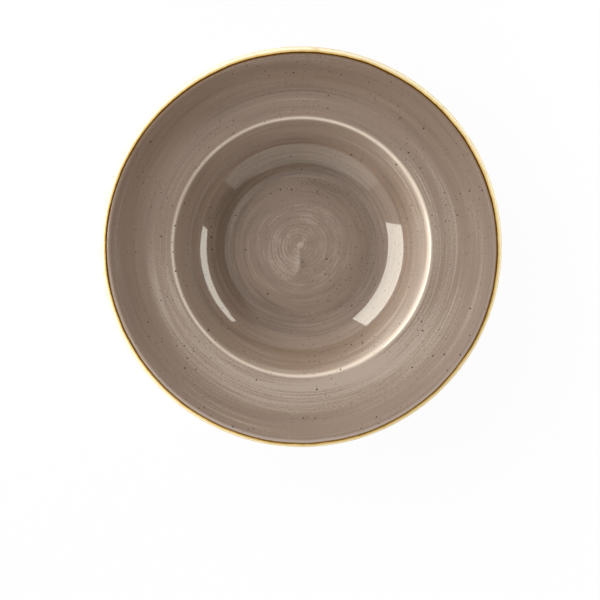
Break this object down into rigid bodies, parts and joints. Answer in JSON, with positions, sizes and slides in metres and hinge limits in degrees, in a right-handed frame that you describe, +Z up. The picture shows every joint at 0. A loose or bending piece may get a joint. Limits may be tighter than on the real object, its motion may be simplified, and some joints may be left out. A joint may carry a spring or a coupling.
{
  "type": "rimmed soup plate",
  "caption": "Round deep plate with a wide dished rim, a rolled banded lip, glossy taupe glaze above, white glaze beneath and a bare foot ring.",
  "frame": {"origin": "middle of the plate at the level of the table, under the centre of the foot ring", "axes": "+Z up along the plate's axis of revolution; X and Y are equal, because the plate is round"},
  "size_m": [0.28, 0.28, 0.0542],
  "materials": {
    "fired_clay": "bare, matt, wiped clean of glaze",
    "taupe_glaze": "glossy, brushed in rings, with dark iron specks",
    "ochre_glaze": "glossy, painted by hand, breaking to brown at its edge",
    "white_glaze": "glossy, smooth"
  },
  "bodies": {
    "root": {"ceramic_body": "fired_clay", "top_glaze": "taupe_glaze", "rim_band": "ochre_glaze", "underside_glaze": "white_glaze", "base_glaze": "white_glaze"}
  },
  "joints": []
}
